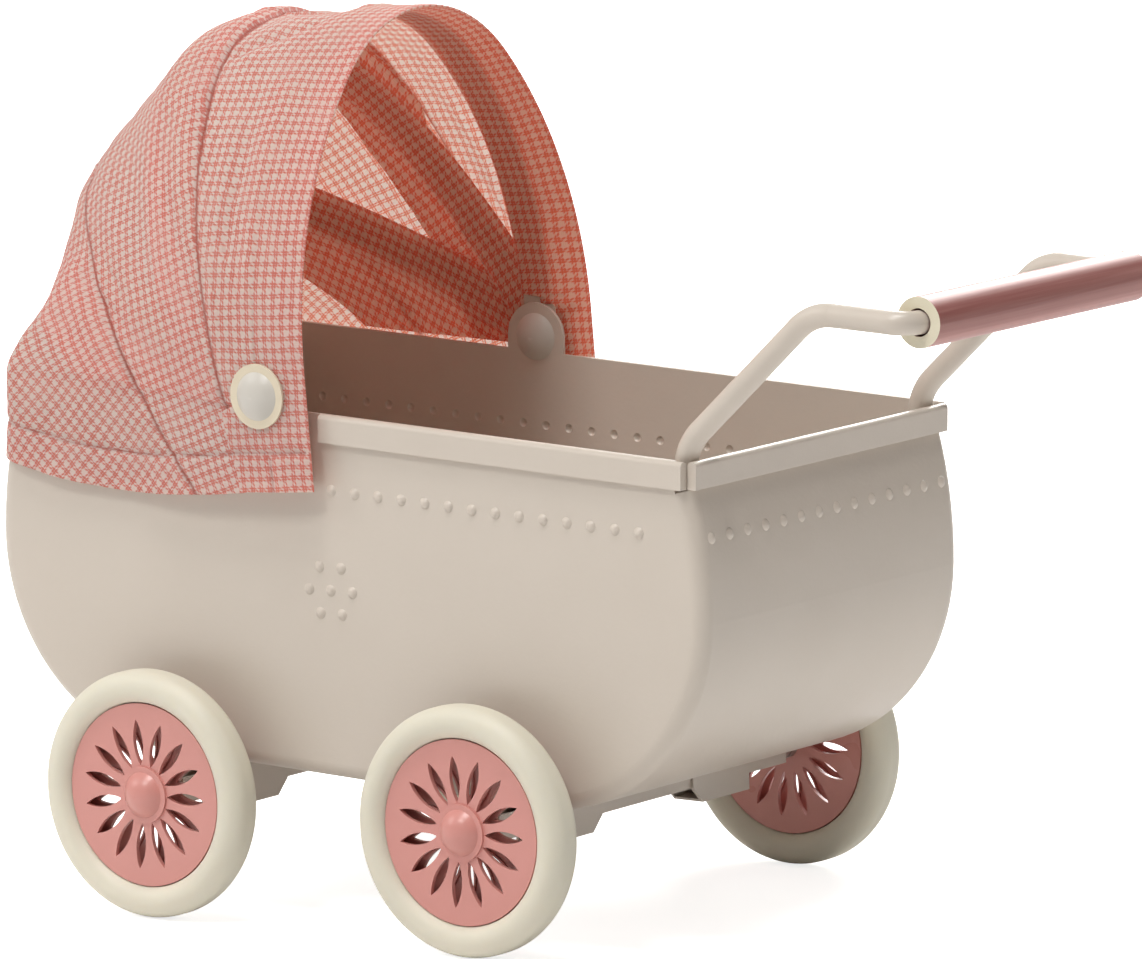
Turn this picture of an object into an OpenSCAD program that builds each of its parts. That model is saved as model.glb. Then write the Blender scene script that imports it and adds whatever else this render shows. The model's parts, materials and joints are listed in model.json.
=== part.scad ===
// Doll's pram of folded tin: a tub with rolled rims, a folding hood on flat bows, a bent wire handle
// with a turning grip, and four slotted wheels that spin on fixed axles.
// Millimetres. +Z is up, +X points to the handle, and the origin is on the floor midway between the
// axles. The tub, hood and handle are drawn level and then tipped nose-up by tub_tilt.

/* [Tub] */
// Length of the tub at its widest line
tub_l = 140.8; // [124:0.2:160]
// Width over the flat side panels
tub_w = 69.8; // [60:0.2:80]
// Depth from the rim to the underside of the floor
tub_h = 58.5; // [50:0.5:66]
// Height of the underside above the axle centres
tub_rise = 3.6; // [3.2:0.1:8]
// Radius of the curve from each end panel into the floor
end_r = 33; // [24:0.5:38]
// How far each end panel leans in between its widest line and the rim
end_lean = 3.2; // [1:0.1:6]
// Radius of the long edges between sides and ends
edge_r = 2.5; // [1.6:0.1:4]
// Thickness of the tin sheet
sheet = 0.6; // [0.4:0.05:0.9]
// Nose-up tip of the tub on its axles, in degrees
tub_tilt = 1.9; // [0:0.1:3]

/* [Rim and pressings] */
// Height of the folded rim
rim_h = 4.4; // [3:0.1:6]
// How far the rim stands out from the panel
rim_out = 1.0; // [0.6:0.05:1.4]
// Width of the gap in the rim at each corner
rim_notch = 1.7; // [1.7:0.1:2.6]
// Radius of the round ears that carry the hood
ear_r = 5.6; // [4.8:0.1:7]
// Flat stretch without a rim on each side of an ear
ear_flat = 9.5; // [7.5:0.1:12]
// Radius of a pressed bead
bead_r = 0.95; // [0.6:0.05:1.2]
// Height of a pressed bead
bead_h = 0.5; // [0.3:0.05:0.7]
// Spacing of the beads along the sides
bead_pitch = 4.63; // [3.6:0.01:6]
// Distance of the bead row below the rim's top
bead_drop = 12.1; // [8:0.1:16]
// Distance of the first bead from the end panel's inner face
bead_start = 8; // [5:0.1:14]
// Spacing of the beads in the side flower
flower_pitch = 4.3; // [3:0.05:5.5]
// Depth of the flower's centre below the rim's top
flower_drop = 28.2; // [22:0.1:34]
// Distance of the flower's centre ahead of the tub's middle
flower_fwd = 2.4; // [-10:0.1:10]

/* [Hood] */
// Distance of the rivets ahead of the tub's middle
rivet_fwd = 13.8; // [8:0.1:20]
// Height of the rivets above the rim
rivet_up = 2.4; // [1.5:0.1:3.4]
// Radius of the rivet shank
rivet_r = 1.1; // [0.8:0.05:1.6]
// Radius of the domed rivet heads
rivet_head_r = 3.9; // [3:0.1:5]
// Width of the bow strips
bow_w = 6; // [4:0.1:7]
// Thickness of the bow strips and of the hood cloth
bow_t = 0.4; // [0.3:0.05:0.45]
// Running gap between one bow's cloth and the next bow
bow_gap = 0.25; // [0.2:0.01:0.3]
// Reach of the front bow above the rivets
front_reach = 57.0; // [50:0.5:60]
// Reach of the middle bow above the rivets
middle_reach = 62.2; // [61:0.1:64]
// Reach of the rear bow above the rivets
rear_reach = 63.4; // [63.3:0.1:67]
// Radius of the bows' crown
crown_r = 27; // [22:0.5:30]
// Lean of the front bow from upright, in degrees
front_lean = 6; // [2:0.5:12]
// Lean of the middle bow
middle_lean = 34; // [30:0.5:40]
// Lean of the rear bow
rear_lean = 66; // [60:0.5:70]
// Width of the front hem behind the front bow's middle
hem_w = 9; // [6:0.1:11]
// How far the hood's skirt hangs below the rivets
skirt_drop = 15.6; // [10:0.1:18]

/* [Handle] */
// Radius of the handle wire
wire_r = 1.85; // [1.4:0.05:2.2]
// Distance of the handle's legs in from the tub's sides
handle_inset = 3.3; // [2.6:0.1:8]
// Distance of the grip behind the tub's middle
handle_back = 105.9; // [96:0.2:118]
// Height of the grip above the rim
handle_up = 25; // [18:0.2:34]
// Slope of the handle legs, in degrees
leg_slope = 44.5; // [38:0.5:50]
// Length of wire that goes down inside the tub
leg_tuck = 16; // [10:0.5:26]
// Radius of the soft bends in the wire
bend_r = 9; // [6:0.1:12]
// Radius of the tight bend into the grip
turn_r = 3.4; // [3:0.1:4.5]
// Distance of the grip's ends in from the legs
grip_inset = 2.7; // [2.6:0.1:6]
// Outside radius of the grip
grip_r = 4; // [3.4:0.05:5]
// Play of the grip on the wire
grip_play = 0.35; // [0.1:0.05:0.5]

/* [Wheels] */
// Outside radius of the tyres
wheel_r = 20; // [17:0.1:22]
// Distance between the axles
wheelbase = 63.4; // [56:0.2:72]
// Distance between the middle planes of the left and right wheels
track = 87.8; // [87:0.2:94]
// Radial thickness of a tyre
tyre_t = 5.2; // [4:0.1:6]
// Straight part of the tyre's section between its round sides
tyre_flat = 1.6; // [0.8:0.1:2.4]
// Number of slots in each wheel disc
slot_n = 15; // [9:1:17]
// Radius where the slots begin
slot_in = 4.7; // [4.6:0.1:6]
// Distance from the slots' outer ends to the disc's edge
slot_margin = 2.6; // [1.8:0.1:4]
// Widest part of a slot
slot_w = 1.9; // [1.2:0.1:2.2]
// Distance of each disc from the wheel's middle plane
disc_off = 1.5; // [1:0.1:2]
// Thickness of a wheel disc
disc_t = 0.4; // [0.3:0.05:0.5]
// Radius of the domed hub cap
cap_r = 3.9; // [3.2:0.1:4.4]
// Height of the hub cap's dome
cap_h = 2.5; // [1.8:0.1:3]

/* [Axles] */
// Radius of the axles
axle_r = 1.2; // [0.9:0.05:1.6]
// Running clearance of the wheels on the axles
axle_play = 0.05; // [0.02:0.01:0.1]
// Half width of the channel that houses an axle
channel_hw = 2.3; // [2.1:0.1:3]
// Depth of the channel below the axle's centre
channel_drop = 2.4; // [2.1:0.1:3]
// Thickness of the spacers between the channels' ends and the wheels
spacer_t = 1.8; // [0.6:0.1:4]
// Depth of the saddles below the axle's centre
saddle_drop = 4.9; // [4:0.1:6]
// Length of a saddle along the axle
saddle_l = 15.3; // [10:0.1:20]
// Distance of a saddle's inner end from the middle
saddle_in = 12.3; // [8:0.1:16]

/* [Hidden] */
$fn = 64;
eps = 0.01;
tin = "#cfc5b6";
cream = "#e6e0cf";
check = "#dba19a";
rose = "#c77f78";
steel = "#a9a9a6";

floor_z = wheel_r + tub_rise;
rim_z = floor_z + tub_h;
half_l = tub_l / 2;
half_w = tub_w / 2;
// The end panel: widest at wide_z, then one arc that leans in to end_x under the rim
wide_z = floor_z + end_r;
lean_h = rim_z - rim_h - wide_z;
lean_r = (lean_h * lean_h + end_lean * end_lean) / (2 * end_lean);
end_x = half_l - end_lean;
// The rim's outer faces
rim_x = end_x + rim_out;
rim_y = half_w + rim_out;
rim_t = rim_out + sheet;

rivet_x = -rivet_fwd;
rivet_z = rim_z + rivet_up;
// Layers on each rivet, from the ear outwards: spacer, front bow, hem, middle bow, cloth, rear bow,
// cloth, washer, head
bow_step = 2 * bow_t + bow_gap;
front_half = rim_y + 0.15;
middle_half = front_half + bow_step;
rear_half = middle_half + bow_step;
washer_t = 0.4;
washer_y = rear_half + 2 * bow_t + 0.15;
head_y = washer_y + washer_t;
head_h = 1.5;
bow_eye_r = bow_w / 2 + 0.6;
// Opening of the cloth round the rivet heads
eyelet_r = rivet_head_r + 0.4;
// A revolved cloth clears the flat strip that it lies on by this much
turn_slack = 0.08;
skirt_t = 0.25;
slab_t = 0.2;
skirt_gap = 0.1;
// Angle from a bow's middle to its edge at the crown
lap = atan(bow_w / 2 / rear_reach);
fold_play = 0.03;

// Inside of the front gore at its sides, and its crown at the front bow and at the middle bow; its
// number of stations
front_crown = norm([front_reach + 2 * bow_t + turn_slack, hem_w]) + bow_gap;
middle_cloth = middle_half + bow_t + bow_gap / 5;
middle_crown = middle_reach + bow_t + bow_gap;
gore_n = 5;

handle_w = tub_w - 2 * handle_inset;
grip_l = handle_w - 2 * grip_inset;
grip_z = rim_z + handle_up;
leg_y = handle_w / 2;
leg_x = end_x - sheet - wire_r - 0.3;
wire_fn = 32;
// The wire is a hair thicker in its bends, and its straights reach into them
wire_swell = 0.02;
wire_join = 0.3;
// Straight lengths of the wire: in the tub, up the slope, and level as far as the turn to the grip
foot_l = leg_tuck - 2;
slope_l = (handle_up + 2 - bend_r * cos(leg_slope) - bend_r * (1 - cos(leg_slope))) / sin(leg_slope);
slope_end = leg_x + bend_r * (1 - sin(leg_slope)) + slope_l * cos(leg_slope);
top_l = handle_back - turn_r - slope_end - bend_r * sin(leg_slope);

tyre_r = tyre_t / 2;
disc_r = wheel_r - tyre_t;
slot_out = disc_r - slot_margin;
// A slot is the lens where two circles of slot_arc meet
slot_len = slot_out - slot_in;
slot_arc = (slot_len * slot_len / 4 + slot_w * slot_w / 4) / slot_w;
lip = 0.35;
bush_r = axle_r + 1.1;
bore_r = axle_r + axle_play;
bush_in = -3.3;
cap_base = disc_off + disc_t;
bush_out = cap_base;
clip_t = 0.5;
axle_l = track + 2 * (bush_out + clip_t + 0.7);
channel_l = track + 2 * (bush_in - spacer_t - 0.1);
channel_t = 0.5;
channel_top = 1.7;
saddle_t = 0.5;
saddle_play = 0.05;
floor_w = 2 * (half_w - edge_r);

// The pram's middle, on the floor under the point midway between the hood's front and the grip's rear,
// is the origin. The axles' middle lies ahead of it.
hood_r = rear_reach + 2 * bow_t + turn_slack;
hood_x = rivet_fwd + hood_r * sin(rear_lean + lap);
hood_z = rivet_z + hood_r * cos(rear_lean + lap);
front_end = hood_x * cos(tub_tilt) - (hood_z - wheel_r) * sin(tub_tilt);
rear_end = handle_back * cos(tub_tilt) + (grip_z - wheel_r) * sin(tub_tilt) + grip_r;
axles_fwd = (rear_end - front_end) / 2;
front_axle_x = -axles_fwd - wheelbase / 2;
rear_axle_x = -axles_fwd + wheelbase / 2;

// ---------- shared frames and helpers ----------

// The tub's own frame, tipped nose-up about the height of the axles, midway between them
module on_tub() {
    translate([-axles_fwd, 0, wheel_r]) rotate([0, tub_tilt, 0]) translate([0, 0, -wheel_r]) children();
}

// Rivet frame of a bow that leans forward: x across the strip, y sideways, z along the bow
module at_bow(lean) {
    on_tub() translate([rivet_x, 0, rivet_z]) rotate([0, -lean, 0]) children();
}

// A wheel's own frame: z along the axle, outwards from the pram; side is -1 near, +1 far
module at_wheel(x, side) {
    translate([x, side * track / 2, wheel_r]) rotate([-side * 90, 0, 0]) children();
}

module both_sides() {
    children();
    mirror([0, 1, 0]) children();
}

module both_ends() {
    children();
    mirror([1, 0, 0]) children();
}

module tube_z(r_out, r_in, z0, z1) {
    difference() {
        translate([0, 0, z0]) cylinder(r = r_out, h = z1 - z0);
        translate([0, 0, z0 - 1]) cylinder(r = r_in, h = z1 - z0 + 2);
    }
}

// A drum along Y between two y values, centred on [x, z]
module drum_y(x, z, r, y0, y1) {
    translate([x, y1, z]) rotate([90, 0, 0]) cylinder(r = r, h = y1 - y0);
}

// ---------- tub ----------

// Outline of the tub seen from the side, moved inwards by d; x along, y up
module tub_outline(d) {
    intersection() {
        union() {
            // below the widest line: floor with two round corners
            for (s = [-1, 1])
                intersection() {
                    translate([s * (half_l - end_r), wide_z]) circle(r = end_r - d, $fn = 180);
                    translate([s > 0 ? half_l - end_r : -half_l - 1, floor_z - 1])
                        square([end_r + 1, end_r + 1]);
                }
            translate([-(half_l - end_r), floor_z + d]) square([2 * (half_l - end_r), end_r - d]);
            // above it: the two leaning arcs
            translate([-half_l, wide_z]) square([tub_l, lean_h + rim_h]);
        }
        intersection_for(s = [-1, 1])
            union() {
                translate([s * (half_l - lean_r), wide_z]) circle(r = lean_r - d, $fn = 360);
                translate([-half_l, floor_z - 1]) square([tub_l, end_r + 1]);
                translate([-end_x + d, rim_z - rim_h]) square([2 * (end_x - d), rim_h]);
            }
    }
}

// The folded rim's section: x outwards from the panel's inner face, y up to the rim's top
module rim_section() {
    r = rim_t / 2;
    translate([0, -rim_h]) square([rim_t, rim_h - r]);
    translate([r, -r]) circle(r = r);
}

// One pressed bead on a face whose outside is the plane z = 0; the dimple is cut from behind
module bead_out() {
    ball = (bead_r * bead_r + bead_h * bead_h) / (2 * bead_h);
    intersection() {
        translate([0, 0, bead_h - ball]) sphere(r = ball, $fn = 32);
        translate([0, 0, -sheet / 2]) cylinder(r = 2 * bead_r, h = sheet + bead_h);
    }
}

module bead_in() {
    r = bead_r - 0.2;
    h = bead_h - 0.1;
    ball = (r * r + h * h) / (2 * h);
    intersection() {
        translate([0, 0, -sheet + h - ball]) sphere(r = ball, $fn = 32);
        translate([0, 0, -sheet - 0.5]) cylinder(r = 2 * bead_r, h = h + 0.5);
    }
}

function side_bead_n() = floor(2 * (end_x - bead_start) / bead_pitch) + 1;

// Places on a side panel of the row and the flower; the panel's outside faces +z here
module side_bead_places() {
    n = side_bead_n();
    for (i = [0 : n - 1]) translate([(i - (n - 1) / 2) * bead_pitch, rim_z - bead_drop, 0]) children();
    translate([-flower_fwd, rim_z - flower_drop, 0]) {
        children();
        for (i = [0 : 5]) rotate([0, 0, i * 60 + 2]) translate([flower_pitch, 0, 0]) children();
    }
}

module side_rim(x0, x1) {
    translate([x0, -(half_w - sheet), rim_z]) rotate([90, 0, 90]) mirror([1, 0, 0])
        linear_extrude(x1 - x0) rim_section();
}

// The near side panel with its rim, ear and beads; the far one is its mirror image
module side_panel() {
    difference() {
        union() {
            translate([0, -(half_w - sheet), 0]) rotate([90, 0, 0])
                linear_extrude(sheet) union() {
                    tub_outline(edge_r);
                    translate([rivet_x, rivet_z]) circle(r = ear_r);
                    translate([rivet_x - ear_r, rim_z - rim_h]) square([2 * ear_r, rim_h + rivet_up]);
                }
            side_rim(rivet_x + ear_flat, rim_x - rim_notch);
            side_rim(-rim_x + rim_notch, rivet_x - ear_flat);
            translate([0, -half_w, 0]) rotate([90, 0, 0]) side_bead_places() bead_out();
        }
        translate([0, -half_w, 0]) rotate([90, 0, 0]) side_bead_places() bead_in();
        drum_y(rivet_x, rivet_z, rivet_r, -half_w - 2, -half_w + 2);
    }
}

module tub_side_left() { color(tin) on_tub() mirror([0, 1, 0]) side_panel(); }
module tub_side_right() { color(tin) on_tub() side_panel(); }

// The wrap's section from edge to edge: a flat strip with a round edge on each side;
// x is the distance from the curve's centre, y is sideways
module wrap_section(r) {
    flat = half_w - edge_r;
    translate([r - sheet, -flat]) square([sheet, 2 * flat]);
    for (s = [-1, 1])
        translate([r - edge_r, s * flat]) intersection() {
            difference() {
                circle(r = edge_r);
                circle(r = edge_r - sheet);
            }
            translate([0, s > 0 ? 0 : -edge_r]) square([edge_r, edge_r]);
        }
}

// The section swept round an axis along Y through [x, z], from angle a0 below level to a1
module wrap_turn(x, z, r, a0, a1) {
    translate([x, 0, z]) rotate([90, 0, 0]) rotate([0, 0, a0]) rotate_extrude(angle = a1 - a0, $fn = 180)
        wrap_section(r);
}

module wrap_end_rim() {
    reach = rim_y - rim_notch;
    translate([end_x - sheet, reach, rim_z]) rotate([90, 0, 0]) linear_extrude(2 * reach) rim_section();
}

lean_a = asin(lean_h / lean_r);

module end_bead_places() {
    h = rim_z - bead_drop - wide_z;
    a = asin(h / lean_r);
    n = floor((tub_w - 2 * edge_r - 2 * bead_r) / (bead_pitch + 0.17)) + 1;
    for (i = [0 : n - 1])
        translate([half_l - lean_r, (i - (n - 1) / 2) * (bead_pitch + 0.17), wide_z])
            rotate([0, -a, 0]) translate([lean_r, 0, 0]) rotate([0, 90, 0]) children();
}

module wrap_half() {
    wrap_turn(half_l - end_r, wide_z, end_r, -90, 0);
    wrap_turn(half_l - lean_r, wide_z, lean_r, 0, lean_a);
    wrap_end_rim();
}

module tub_wrap() {
    color(tin) on_tub() difference() {
        union() {
            both_ends() wrap_half();
            translate([-(half_l - end_r), 0, wide_z]) rotate([0, 90, 0])
                linear_extrude(2 * (half_l - end_r)) wrap_section(end_r);
            both_ends() end_bead_places() bead_out();
        }
        both_ends() end_bead_places() bead_in();
    }
}

// ---------- hood ----------

function reversed(list) = [for (i = [len(list) - 1 : -1 : 0]) list[i]];

// Line of a bow from one rivet over to the other, as [sideways, up] points: upright feet, two long side
// arcs and a tighter crown that they run into without a kink; n steps to each side arc
function bow_line(a, b, n = 10) =
    let (
        r = crown_r + a - front_half,
        d = b - r,
        c = ((d - bow_eye_r) * (d - bow_eye_r) - (a - r) * (a - r)) / (2 * (a - r)),
        t = atan2(d - bow_eye_r, c),
        side = [for (i = [0 : n]) [(c + a) * cos(t * i / n) - c, (c + a) * sin(t * i / n) + bow_eye_r]],
        crown = [for (i = [1 : 2 * n - 1]) let (w = t + (90 - t) * i / n) [r * cos(w), r * sin(w) + d]]
    )
    concat([[a, 0]], side, crown, [for (p = reversed(side)) [-p[0], p[1]]], [[-a, 0]]);

// Section of a layer that lies on the line of half width a and height b
module bow_layer(a, b) {
    polygon(concat(bow_line(a + bow_t, b + bow_t), reversed(bow_line(a, b))));
}

// Flat strip bent over the hood, with a round eye on each rivet
module bow_strip(a, b) {
    difference() {
        union() {
            rotate([90, 0, 90]) linear_extrude(bow_w, center = true) bow_layer(a, b);
            both_sides() drum_y(0, 0, bow_eye_r, a, a + bow_t);
        }
        drum_y(0, 0, rivet_r + fold_play, -a - 2, a + 2);
    }
}

// Profile of a layer of cloth that is revolved about the rivet line: x outwards from r0, y sideways
module cloth_profile(a, b, r0) {
    intersection() {
        rotate([0, 0, -90]) bow_layer(a, b);
        translate([r0, -100]) square([100, 200]);
    }
}

// A layer of cloth revolved about the rivet line, from one lean to a greater one
module cloth_turn(a, b, r0, lean0, lean1) {
    rotate([0, -90 - lean0, 0]) rotate([90, 0, 0]) rotate_extrude(angle = lean1 - lean0, $fn = 180)
        cloth_profile(a, b, r0);
}

module bow_front() { color(cream) at_bow(front_lean) bow_strip(front_half, front_reach); }
module bow_middle() { color(cream) at_bow(middle_lean) bow_strip(middle_half, middle_reach); }
module bow_rear() { color(cream) at_bow(rear_lean) bow_strip(rear_half, rear_reach); }

// Front hem: the sleeve over the front bow and the two flaps that hang beside the tub
module hood_hem() {
    a = front_half + bow_t + turn_slack;
    b = front_reach + bow_t + turn_slack;
    back = -bow_w / 2 - 1;
    color(check) at_bow(front_lean) difference() {
        union() {
            translate([back, 0, 0]) rotate([90, 0, 90]) linear_extrude(hem_w - back) bow_layer(a, b);
            both_sides() translate([0, a + bow_t, 0]) rotate([90, 0, 0]) linear_extrude(bow_t) polygon(
                [[hem_w, 1], [hem_w - 0.6, -skirt_drop - 0.9], [back - 1.4, -skirt_drop - 0.3], [back, 1]]);
        }
        drum_y(0, 0, rivet_r + fold_play, -a - 4, a + 4);
    }
}

// Cloth between the front and the middle bow: it grows from one bow's size to the other's, and stays
// outside the path of the front hem
module hood_front_gore() {
    color(check) at_bow(0) difference() {
        hull() for (i = [0 : gore_n]) gore_station(i, bow_t, eyelet_r + 1);
        hull() for (i = [-1 : gore_n + 1]) gore_station(i, 0, eyelet_r);
    }
}

// Station i of the front gore, grown by t and cut off at the height low. Station 0 lies on the rear edge
// of the front bow and the last two on the edges of the middle bow; one more at each end opens the gore.
module gore_station(i, t, low) {
    k = max(min(i / (gore_n - 1), 1), 0);
    b = front_crown + (middle_crown - front_crown) * sin(90 * k);
    edge = i < 0 ? bow_w / 2 + 1 : i < gore_n ? bow_w / 2 : i == gore_n ? -bow_w / 2 : -bow_w / 2 - 1;
    rotate([0, -front_lean - (middle_lean - front_lean) * k, 0]) translate([edge, 0, 0])
        bow_slab(middle_cloth + t, b + t, low);
}

// Thin slice of the space under a bow, from the height low up
module bow_slab(a, b, low) {
    rotate([90, 0, 90]) linear_extrude(slab_t, center = true) intersection() {
        polygon(bow_line(a, b));
        translate([-2 * a, low]) square([4 * a, 2 * b]);
    }
}

module hood_middle_gore() {
    a = rear_half + bow_t + turn_slack;
    b = rear_reach + bow_t + turn_slack;
    color(check) at_bow(0) cloth_turn(a, b, eyelet_r, middle_lean - lap, rear_lean + lap);
}

// Cloth from the rear bow down to the rim; it crumples as the hood folds
module hood_rear_gore() {
    a = rear_half + bow_t;
    b = rear_reach + bow_t;
    y = rim_y + 0.1;
    x0 = -rim_x - 0.1;
    x1 = rivet_x - 6.2;
    color(check) difference() {
        hull() {
            at_bow(rear_lean) translate([-bow_w / 2 - 0.4, 0, 0]) bow_slab(a + bow_t, b + bow_t, 0);
            on_tub() translate([x0 - bow_t, -y - bow_t, rim_z + 0.15])
                cube([x1 - x0, 2 * (y + bow_t), 0.3]);
        }
        hull() {
            at_bow(rear_lean) translate([-bow_w / 2 + 0.3, 0, 0]) bow_slab(a, b, 0);
            on_tub() translate([x0, -y, rim_z - 0.5]) cube([x1 - x0, 2 * y, 0.3]);
        }
        at_bow(rear_lean) translate([-bow_w / 2 - 0.3, -100, -100]) cube([200, 200, 200]);
        on_tub() translate([x1, -100, rim_z - 20]) cube([200, 200, 200]);
        on_tub() translate([-100, -100, rim_z + skirt_gap + 0.1 - 20]) cube([200, 200, 20]);
    }
}

// Distance of the end panel's outside from the tub's middle at height z
function panel_x(z) = half_l - lean_r + sqrt(lean_r * lean_r - (z - wide_z) * (z - wide_z));

// Lower edge of the cloth, stretched round the tub's front end
module hood_skirt() {
    color(check) on_tub() difference() {
        skirt_block(skirt_t, 0);
        skirt_block(0, 1);
    }
}

// Space inside the skirt, grown sideways by t and lengthened rearwards and up and down by more
module skirt_block(t, more) {
    top = rim_z + skirt_gap + more;
    bottom = rivet_z - skirt_drop - 1.2;
    grow = panel_x(bottom) + bead_h - rim_x;
    hull() {
        translate([0, 0, top]) linear_extrude(eps) skirt_plan(t, more, -grow * more / (top - bottom));
        translate([0, 0, bottom - more])
            linear_extrude(eps) skirt_plan(t, more, grow * (1 + more / (top - bottom)));
    }
}

module skirt_plan(t, more, grow) {
    r = rim_notch + 0.3;
    back = rivet_x - 6.2 + more + grow;
    translate([-grow, 0]) rounded(-rim_x - skirt_gap - t, back, rim_y + skirt_gap + t, r + t);
}

// Rectangle from x0 to x1 with rounded corners at its x0 end
module rounded(x0, x1, y, r) {
    translate([x0 + r, -y]) square([x1 - x0 - r, 2 * y]);
    translate([x0, -y + r]) square([2 * r, 2 * (y - r)]);
    for (s = [-1, 1]) translate([x0 + r, s * (y - r)]) circle(r = r);
}

module rivet_dome(y, s) {
    ball = (rivet_head_r * rivet_head_r + head_h * head_h) / (2 * head_h);
    translate([rivet_x, y, rivet_z]) rotate([-s * 90, 0, 0]) intersection() {
        translate([0, 0, head_h - ball]) sphere(r = ball, $fn = 96);
        cylinder(r = 2 * rivet_head_r, h = head_h + 1);
    }
}

module hood_rivets() {
    color(tin) on_tub() both_sides() {
        drum_y(rivet_x, rivet_z, rivet_r, half_w - sheet - 0.2, head_y + 0.2);
        rivet_dome(head_y, 1);
        rivet_dome(half_w - sheet, -1);
    }
}

module rivet_ring(r, y0, y1) {
    on_tub() both_sides() difference() {
        drum_y(rivet_x, rivet_z, r, y0, y1);
        drum_y(rivet_x, rivet_z, rivet_r, y0 - 1, y1 + 1);
    }
}

module rivet_washers() { color(cream) rivet_ring(rivet_head_r + 1.3, washer_y, washer_y + washer_t); }
module rivet_spacers() { color(steel) rivet_ring(rivet_r + 1.6, half_w, front_half); }

// ---------- handle ----------

// Round wire along +z; it reaches a little into the bends at its ends
module rod(l) { translate([0, 0, -wire_join]) cylinder(r = wire_r, h = l + 2 * wire_join, $fn = wire_fn); }

// Round bend of radius r that starts along +z at the origin and turns towards +x by angle a
module bend(r, a) {
    translate([r, 0, 0]) rotate([90, 0, 180]) rotate_extrude(angle = a, $fn = 96)
        translate([r, 0]) circle(r = wire_r + wire_swell, $fn = wire_fn);
}

// Carries its children from the start of a bend to its end
module after_bend(r, a) {
    translate([r - r * cos(a), 0, r * sin(a)]) rotate([0, a, 0]) children();
}

// One leg of the wire, from the foot inside the tub to the tight turn into the grip
module wire_leg() {
    translate([leg_x, -leg_y, rim_z - leg_tuck]) {
        rod(foot_l);
        translate([0, 0, foot_l]) {
            bend(bend_r, 90 - leg_slope);
            after_bend(bend_r, 90 - leg_slope) {
                rod(slope_l);
                translate([0, 0, slope_l]) {
                    bend(bend_r, leg_slope);
                    after_bend(bend_r, leg_slope) {
                        rod(top_l);
                        translate([0, 0, top_l]) rotate([0, 0, 90]) bend(turn_r, 90);
                    }
                }
            }
        }
    }
}

module handle_wire() {
    bar = leg_y - turn_r + wire_join;
    color(tin) on_tub() {
        both_sides() wire_leg();
        drum_y(handle_back, grip_z, wire_r, -bar, bar);
    }
}

module handle_grip() {
    color(rose) on_tub() difference() {
        drum_y(handle_back, grip_z, grip_r, -grip_l / 2, grip_l / 2);
        drum_y(handle_back, grip_z, wire_r + grip_play, -grip_l / 2 - 1, grip_l / 2 + 1);
    }
}

// ---------- running gear ----------

// Removes everything above the tub's floor, so that what hangs below it meets it face to face
module under_floor() {
    difference() {
        children();
        on_tub() translate([-half_l, -half_w, floor_z]) cube([tub_l, tub_w, tub_h]);
    }
}

// Folded channel that houses an axle and is soldered to the floor; drilled tabs close its ends
module channel(x) {
    inner = channel_hw - channel_t;
    top = channel_drop + 2 * tub_rise;
    color(tin) under_floor() translate([x, 0, wheel_r]) difference() {
        union() {
            translate([-channel_hw, -floor_w / 2, -channel_drop]) cube([2 * channel_hw, floor_w, top]);
            translate([-channel_hw, -channel_l / 2, -channel_drop])
                cube([2 * channel_hw, channel_l, channel_drop + channel_top]);
        }
        translate([-inner, -channel_l / 2 + channel_t, -channel_drop + channel_t])
            cube([2 * inner, channel_l - 2 * channel_t, top]);
        drum_y(0, 0, axle_r, -channel_l, channel_l);
    }
}

// U-shaped saddles that clip over a channel and are soldered to the floor above
module saddles(x) {
    w = channel_hw + saddle_play + saddle_t;
    chamfer = saddle_drop - channel_drop;
    top = saddle_drop + 2 * tub_rise;
    color(tin) under_floor() both_sides() translate([x, saddle_in, wheel_r]) difference() {
        translate([-w, 0, -saddle_drop]) cube([2 * w, saddle_l, top]);
        translate([-w + saddle_t, -1, -saddle_drop + saddle_t]) cube([2 * (w - saddle_t), saddle_l + 2, top]);
        // sloping lower corner at the inner end
        translate([0, 0, -saddle_drop]) rotate([45, 0, 0])
            cube([4 * w, sqrt(2) * chamfer, sqrt(2) * chamfer], center = true);
    }
}

module axle(x) { color(steel) drum_y(x, wheel_r, axle_r, -axle_l / 2, axle_l / 2); }

module at_each_wheel() {
    for (x = [front_axle_x, rear_axle_x], side = [-1, 1]) at_wheel(x, side) children();
}

module axle_clips() {
    color(steel) at_each_wheel()
        tube_z(axle_r + 0.9, axle_r, bush_out + 0.1, bush_out + 0.1 + clip_t);
}

module axle_spacers() {
    color(steel) at_each_wheel() tube_z(axle_r + 1, axle_r, bush_in - 0.1 - spacer_t, bush_in - 0.1);
}

module tyre() {
    color(cream) rotate_extrude($fn = 128) for (s = [-1, 1]) {
        translate([wheel_r - tyre_r, s * tyre_flat / 2]) circle(r = tyre_r, $fn = 48);
        translate([disc_r, -tyre_flat / 2]) square([tyre_t, tyre_flat]);
    }
}

module lens(arc, w) {
    intersection() {
        translate([0, arc - w / 2]) circle(r = arc, $fn = 96);
        translate([0, w / 2 - arc]) circle(r = arc, $fn = 96);
    }
}

module each_slot() {
    for (i = [0 : slot_n - 1]) rotate([0, 0, i * 360 / slot_n]) translate([(slot_in + slot_out) / 2, 0, 0])
        children();
}

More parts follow.
